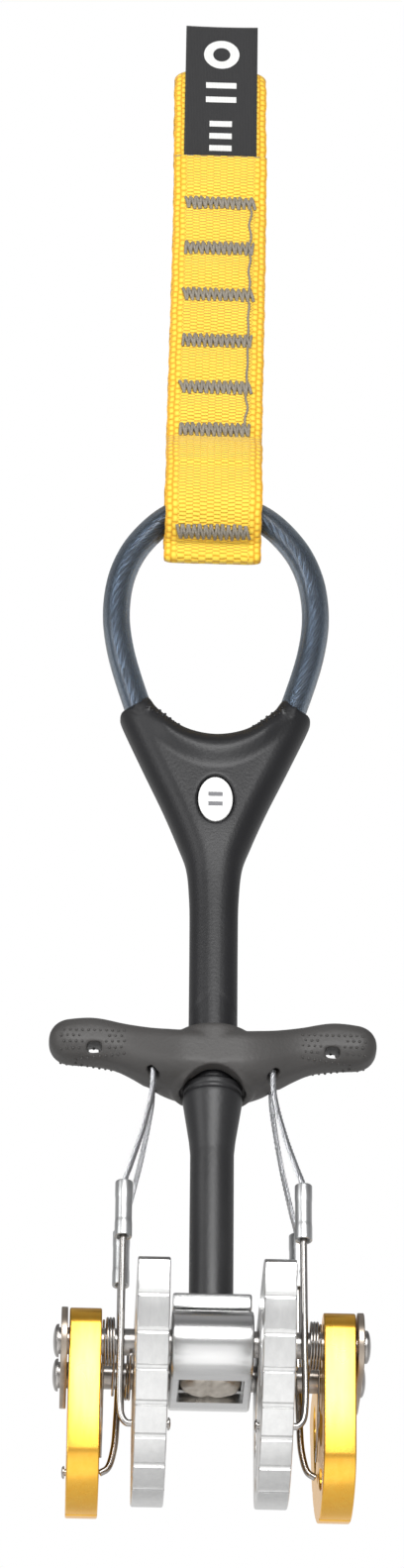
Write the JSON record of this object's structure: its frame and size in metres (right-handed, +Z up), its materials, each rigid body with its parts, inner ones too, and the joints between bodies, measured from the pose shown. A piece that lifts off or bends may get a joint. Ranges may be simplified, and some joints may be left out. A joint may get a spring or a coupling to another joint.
{
  "type": "spring-loaded camming device",
  "caption": "Double-axle camming device: four spring-loaded lobes, cable stem with thumb loop, sliding trigger bar and a sewn sling.",
  "frame": {"origin": "the point inside the top of the sling's eye where a carabiner rests", "axes": "+Z up from the lobes to the sling, +X along the axles, -Y towards the side that the inner lobes bite"},
  "size_m": [0.0576, 0.0654, 0.3153],
  "materials": {
    "webbing": "woven nylon webbing",
    "tag_cloth": "woven label",
    "black_plastic": "satin moulding",
    "badge_plastic": "plain white plate",
    "clear_sleeve": "smoky translucent tube",
    "trigger_plastic": "fine matt moulding",
    "bare_aluminium": "polished",
    "gold_aluminium": "gold anodised",
    "cable_steel": "galvanised wire rope",
    "ferrule_metal": "nickel plated",
    "stainless": "drawn stainless"
  },
  "bodies": {
    "sling": {"sling_strap": "webbing", "sling_tag": "tag_cloth"},
    "stem": {"loop_cable": "cable_steel", "loop_sleeve": "clear_sleeve", "lower_stem_sleeve": "black_plastic", "handle": "black_plastic", "size_badge": "badge_plastic", "head_block": "bare_aluminium", "cable_swage": "ferrule_metal", "front_axle": "stainless", "rear_axle": "stainless", "left_end_plate": "stainless", "right_end_plate": "stainless", "inner_left_spring": "stainless", "inner_right_spring": "stainless", "outer_left_spring": "stainless", "outer_right_spring": "stainless"},
    "trigger": {"trigger_bar": "trigger_plastic"},
    "inner_left_lobe": {"inner_left_lobe": "bare_aluminium", "inner_left_rod_end": "stainless"},
    "inner_right_lobe": {"inner_right_lobe": "bare_aluminium", "inner_right_rod_end": "stainless"},
    "outer_left_lobe": {"outer_left_lobe": "gold_aluminium", "outer_left_rod_end": "stainless"},
    "outer_right_lobe": {"outer_right_lobe": "gold_aluminium", "outer_right_rod_end": "stainless"},
    "inner_left_link": {"inner_left_trigger_cable": "cable_steel", "inner_left_ferrule": "ferrule_metal", "inner_left_rod": "stainless"},
    "inner_right_link": {"inner_right_trigger_cable": "cable_steel", "inner_right_ferrule": "ferrule_metal", "inner_right_rod": "stainless"},
    "outer_left_link": {"outer_left_trigger_cable": "cable_steel", "outer_left_ferrule": "ferrule_metal", "outer_left_rod": "stainless"},
    "outer_right_link": {"outer_right_trigger_cable": "cable_steel", "outer_right_ferrule": "ferrule_metal", "outer_right_rod": "stainless"}
  },
  "joints": [
    {"name": "stem_swing", "type": "hinge", "parent": "sling", "child": "stem", "pos_m": [0, -0.0039, -0.1047], "axis": [1, 0, 0], "range_deg": [-40, 40]},
    {"name": "trigger_slide", "type": "slide", "parent": "stem", "child": "trigger", "axis": [0, 0, 1], "range_m": [0, 0.0276], "stiffness_N_per_m": 350, "springref_m": -0.012},
    {"name": "inner_left_lobe_pivot", "type": "hinge", "parent": "stem", "child": "inner_left_lobe", "pos_m": [0, 0.0031, -0.2792], "axis": [-1, 0, 0], "range_deg": [0, 72]},
    {"name": "inner_right_lobe_pivot", "type": "hinge", "parent": "stem", "child": "inner_right_lobe", "pos_m": [0, 0.0031, -0.2792], "axis": [-1, 0, 0], "range_deg": [0, 72]},
    {"name": "outer_left_lobe_pivot", "type": "hinge", "parent": "stem", "child": "outer_left_lobe", "pos_m": [0, -0.0109, -0.2792], "axis": [1, 0, 0], "range_deg": [0, 72]},
    {"name": "outer_right_lobe_pivot", "type": "hinge", "parent": "stem", "child": "outer_right_lobe", "pos_m": [0, -0.0109, -0.2792], "axis": [1, 0, 0], "range_deg": [0, 72]},
    {"name": "inner_left_link_lean", "type": "hinge", "parent": "trigger", "child": "inner_left_link", "pos_m": [-0.0104, -0.0071, -0.2272], "axis": [-1, 0, 0], "range_deg": [0, 2.9]},
    {"name": "inner_right_link_lean", "type": "hinge", "parent": "trigger", "child": "inner_right_link", "pos_m": [0.0104, -0.0071, -0.2272], "axis": [-1, 0, 0], "range_deg": [0, 2.9]},
    {"name": "outer_left_link_lean", "type": "hinge", "parent": "trigger", "child": "outer_left_link", "pos_m": [-0.0104, -0.0007, -0.2272], "axis": [1, 0, 0], "range_deg": [0, 2.9]},
    {"name": "outer_right_link_lean", "type": "hinge", "parent": "trigger", "child": "outer_right_link", "pos_m": [0.0104, -0.0007, -0.2272], "axis": [1, 0, 0], "range_deg": [0, 2.9]}
  ],
  "couplings": [
    {"joint": "inner_left_lobe_pivot", "follows": "trigger_slide", "rad_per_m": 45.52},
    {"joint": "inner_right_lobe_pivot", "follows": "trigger_slide", "rad_per_m": 45.52},
    {"joint": "outer_left_lobe_pivot", "follows": "trigger_slide", "rad_per_m": 45.52},
    {"joint": "outer_right_lobe_pivot", "follows": "trigger_slide", "rad_per_m": 45.52},
    {"joint": "inner_left_link_lean", "follows": "trigger_slide", "rad_per_m": 1.78},
    {"joint": "inner_right_link_lean", "follows": "trigger_slide", "rad_per_m": 1.78},
    {"joint": "outer_left_link_lean", "follows": "trigger_slide", "rad_per_m": 1.78},
    {"joint": "outer_right_link_lean", "follows": "trigger_slide", "rad_per_m": 1.78}
  ]
}
